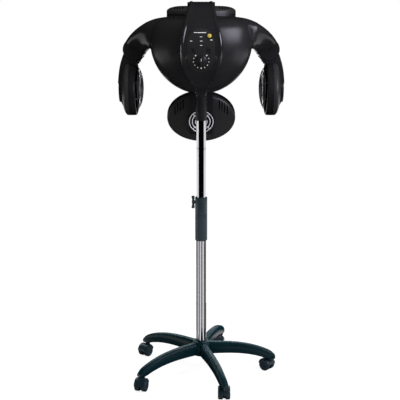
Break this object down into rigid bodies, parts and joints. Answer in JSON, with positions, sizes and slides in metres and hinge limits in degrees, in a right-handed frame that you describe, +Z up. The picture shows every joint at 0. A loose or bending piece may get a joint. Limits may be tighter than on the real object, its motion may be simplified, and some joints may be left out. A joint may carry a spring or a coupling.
{
  "type": "stand dryer",
  "caption": "Warm-air dryer with oval fan heads on jointed arms round a black hood, on a telescopic chrome pole with a five-star caster base.",
  "frame": {"origin": "on the floor, on the axis of the pole", "axes": "+Z up the pole; -Y towards the control panel; +X to the right as seen from the panel"},
  "size_m": [0.672, 0.6047, 1.529],
  "materials": {
    "black_gloss": "polished black moulding",
    "black_satin": "satin black moulding",
    "base_plastic": "satin green-black paint",
    "grey_plastic": "grey moulding",
    "wheel_tread": "hard nylon wheel",
    "bright_chrome": "bright chrome plate",
    "bracket_black": "black anodised casting",
    "bare_steel": "plain steel",
    "wire_grey": "grey coated wire",
    "mica": "dark mica board with heating ribbon",
    "amber_lens": "clear amber lens"
  },
  "bodies": {
    "base": {"star_base": "base_plastic", "foot_bolt": "bare_steel", "lower_tube": "bright_chrome", "collar": "grey_plastic"},
    "clamp_screw": {"wing_screw": "grey_plastic"},
    "mast": {"upper_tube": "bright_chrome", "guide_bush": "grey_plastic"},
    "hood": {"neck_bracket": "bracket_black", "dome_shell": "black_gloss", "back_cover": "black_satin", "spine_cover": "black_gloss", "control_plate": "black_satin", "timer_body": "grey_plastic", "indicator_lamp": "amber_lens", "arm_left": "black_gloss", "arm_right": "black_gloss", "arm_top": "black_gloss", "arm_nape": "black_gloss"},
    "timer_knob": {"timer_knob": "black_satin"},
    "rocker_left": {"rocker_left": "black_gloss"},
    "rocker_right": {"rocker_right": "black_gloss"},
    "caster_1": {"caster_housing_1": "base_plastic"},
    "wheels_1": {"caster_wheels_1": "wheel_tread"},
    "caster_2": {"caster_housing_2": "base_plastic"},
    "wheels_2": {"caster_wheels_2": "wheel_tread"},
    "caster_3": {"caster_housing_3": "base_plastic"},
    "wheels_3": {"caster_wheels_3": "wheel_tread"},
    "caster_4": {"caster_housing_4": "base_plastic"},
    "wheels_4": {"caster_wheels_4": "wheel_tread"},
    "caster_5": {"caster_housing_5": "base_plastic"},
    "wheels_5": {"caster_wheels_5": "wheel_tread"},
    "head_left": {"head_shell_left": "black_gloss", "bezel_left": "black_satin", "grille_left": "wire_grey", "intake_guard_left": "bright_chrome", "motor_left": "bare_steel", "heater_left": "mica"},
    "fan_left": {"fan_left": "black_satin"},
    "head_right": {"head_shell_right": "black_gloss", "bezel_right": "black_satin", "grille_right": "wire_grey", "intake_guard_right": "bright_chrome", "motor_right": "bare_steel", "heater_right": "mica"},
    "fan_right": {"fan_right": "black_satin"},
    "head_top": {"head_shell_top": "black_gloss", "bezel_top": "black_satin", "grille_top": "wire_grey", "intake_guard_top": "bright_chrome", "motor_top": "bare_steel", "heater_top": "mica"},
    "fan_top": {"fan_top": "black_satin"},
    "head_nape": {"head_shell_nape": "black_gloss", "bezel_nape": "black_satin", "grille_nape": "wire_grey", "intake_guard_nape": "bright_chrome", "motor_nape": "bare_steel", "heater_nape": "mica"},
    "fan_nape": {"fan_nape": "black_satin"}
  },
  "joints": [
    {"name": "hood_height", "type": "slide", "parent": "base", "child": "mast", "axis": [0, 0, 1], "range_m": [-0.18, 0.27]},
    {"name": "hood_swivel", "type": "hinge", "parent": "mast", "child": "hood", "pos_m": [0, 0, 1.07], "axis": [0, 0, 1], "range_deg": [-150, 150]},
    {"name": "caster_swivel_1", "type": "hinge", "parent": "base", "child": "caster_1", "pos_m": [0.292, 0, 0.0571], "axis": [0, 0, 1], "continuous": true},
    {"name": "wheel_roll_1", "type": "hinge", "parent": "caster_1", "child": "wheels_1", "pos_m": [0.27927, 0.01273, 0.025], "axis": [-0.7071, -0.7071, 0], "continuous": true},
    {"name": "caster_swivel_2", "type": "hinge", "parent": "base", "child": "caster_2", "pos_m": [0.09023, 0.27771, 0.0571], "axis": [0, 0, 1], "continuous": true},
    {"name": "wheel_roll_2", "type": "hinge", "parent": "caster_2", "child": "wheels_2", "pos_m": [0.07332, 0.27155, 0.025], "axis": [0.342, -0.9397, 0], "continuous": true},
    {"name": "caster_swivel_3", "type": "hinge", "parent": "base", "child": "caster_3", "pos_m": [-0.23623, 0.17163, 0.0571], "axis": [0, 0, 1], "continuous": true},
    {"name": "wheel_roll_3", "type": "hinge", "parent": "caster_3", "child": "wheels_3", "pos_m": [-0.24577, 0.15637, 0.025], "axis": [0.848, -0.5299, 0], "continuous": true},
    {"name": "caster_swivel_4", "type": "hinge", "parent": "base", "child": "caster_4", "pos_m": [-0.23623, -0.17163, 0.0571], "axis": [0, 0, 1], "continuous": true},
    {"name": "wheel_roll_4", "type": "hinge", "parent": "caster_4", "child": "wheels_4", "pos_m": [-0.24089, -0.18902, 0.025], "axis": [0.9659, -0.2588, 0], "continuous": true},
    {"name": "caster_swivel_5", "type": "hinge", "parent": "base", "child": "caster_5", "pos_m": [0.09023, -0.27771, 0.0571], "axis": [0, 0, 1], "continuous": true},
    {"name": "wheel_roll_5", "type": "hinge", "parent": "caster_5", "child": "wheels_5", "pos_m": [0.09023, -0.25971, 0.025], "axis": [-1, 0, 0], "continuous": true},
    {"name": "clamp_turn", "type": "hinge", "parent": "base", "child": "clamp_screw", "pos_m": [0, 0, 0.7373], "axis": [-1, 0, 0], "range_deg": [0, 180]},
    {"name": "elbow_left", "type": "hinge", "parent": "hood", "child": "head_left", "pos_m": [-0.27, 0.15, 1.339], "axis": [0, 1, 0], "range_deg": [-10, 25]},
    {"name": "fan_spin_left", "type": "hinge", "parent": "head_left", "child": "fan_left", "pos_m": [-0.288, 0.15, 1.18], "axis": [-1, 0, 0], "continuous": true},
    {"name": "elbow_right", "type": "hinge", "parent": "hood", "child": "head_right", "pos_m": [0.27, 0.15, 1.339], "axis": [0, -1, 0], "range_deg": [-10, 25]},
    {"name": "fan_spin_right", "type": "hinge", "parent": "head_right", "child": "fan_right", "pos_m": [0.288, 0.15, 1.18], "axis": [1, 0, 0], "continuous": true},
    {"name": "elbow_top", "type": "hinge", "parent": "hood", "child": "head_top", "pos_m": [0, 0.031, 1.46], "axis": [1, 0, 0], "range_deg": [-10, 25]},
    {"name": "fan_spin_top", "type": "hinge", "parent": "head_top", "child": "fan_top", "pos_m": [0, 0.19, 1.478], "axis": [0, 0, 1], "continuous": true},
    {"name": "elbow_nape", "type": "hinge", "parent": "hood", "child": "head_nape", "pos_m": [0, 0.10253, 1.22057], "axis": [-1, 0, 0], "range_deg": [-10, 15]},
    {"name": "fan_spin_nape", "type": "hinge", "parent": "head_nape", "child": "fan_nape", "pos_m": [0, 0.14, 1.065], "axis": [0, -0.9397, -0.342], "continuous": true},
    {"name": "timer_turn", "type": "hinge", "parent": "hood", "child": "timer_knob", "pos_m": [0, -0.12618, 1.312], "axis": [0, 0.9654, 0.2607], "range_deg": [0, 300]},
    {"name": "rocker_left_tip", "type": "hinge", "parent": "hood", "child": "rocker_left", "pos_m": [-0.028, -0.1298, 1.34798], "axis": [1, 0, 0], "range_deg": [0, 10]},
    {"name": "rocker_right_tip", "type": "hinge", "parent": "hood", "child": "rocker_right", "pos_m": [0.028, -0.1298, 1.34798], "axis": [1, 0, 0], "range_deg": [0, 10]}
  ]
}
